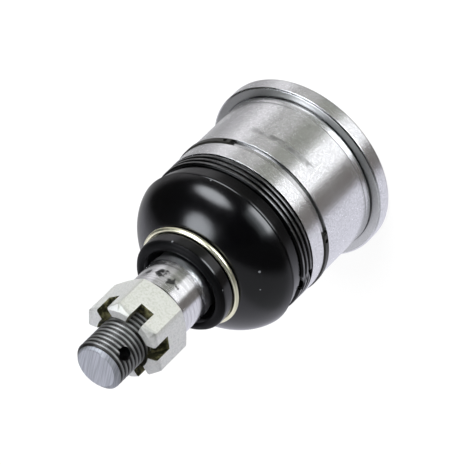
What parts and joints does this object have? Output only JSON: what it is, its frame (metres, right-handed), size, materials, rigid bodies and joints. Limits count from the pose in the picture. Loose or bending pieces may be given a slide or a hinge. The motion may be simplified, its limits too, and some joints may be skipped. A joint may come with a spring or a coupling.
{
  "type": "suspension ball joint",
  "caption": "Press-in suspension ball joint: turned steel housing with flange and snap ring, rubber boot, ball stud that leans and spins, threaded end with a castle nut.",
  "frame": {"origin": "middle of the flange end of the housing, on the plane that the joint stands on", "axes": "+Z along the stud's axis from the flange end towards the thread; the cotter hole runs along Y; the stud leans about X through the ball's centre, 19 mm above the origin, and the boot's turn about Z carries that lean round"},
  "size_m": [0.0458, 0.0458, 0.0817],
  "materials": {
    "housing_steel": "turned, satin",
    "stud_steel": "ground, oiled thread",
    "nut_zinc": "zinc plated, matte, faint yellow",
    "boot_rubber": "smooth moulded, glossy",
    "neck_ring_zinc": "yellow zinc plated wire",
    "base_ring_black": "black oxide",
    "snap_ring_black": "phosphated, oiled",
    "seat_plastic": "natural acetal",
    "spring_steel": "blued",
    "cap_steel": "pressed"
  },
  "bodies": {
    "housing": {"housing": "housing_steel", "upper_ball_seat": "seat_plastic", "lower_ball_seat": "seat_plastic", "preload_spring": "spring_steel", "end_cap": "cap_steel", "snap_ring": "snap_ring_black"},
    "boot": {"dust_boot": "boot_rubber", "boot_base_ring": "base_ring_black"},
    "boot_neck": {"boot_neck_ring": "neck_ring_zinc"},
    "stud": {"ball_stud": "stud_steel"},
    "nut": {"castle_nut": "nut_zinc"}
  },
  "joints": [
    {"name": "boot_turn", "type": "hinge", "parent": "housing", "child": "boot", "pos_m": [0, 0, 0.019], "axis": [0, 0, 1], "continuous": true},
    {"name": "stud_swing", "type": "hinge", "parent": "boot", "child": "boot_neck", "pos_m": [0, 0, 0.019], "axis": [1, 0, 0], "range_deg": [-22, 22], "deforming": ["dust_boot"]},
    {"name": "stud_spin", "type": "hinge", "parent": "boot_neck", "child": "stud", "pos_m": [0, 0, 0.019], "axis": [0, 0, 1], "continuous": true},
    {"name": "nut_run", "type": "slide", "parent": "stud", "child": "nut", "axis": [0, 0, 1], "range_m": [0, 0.02125]}
  ]
}
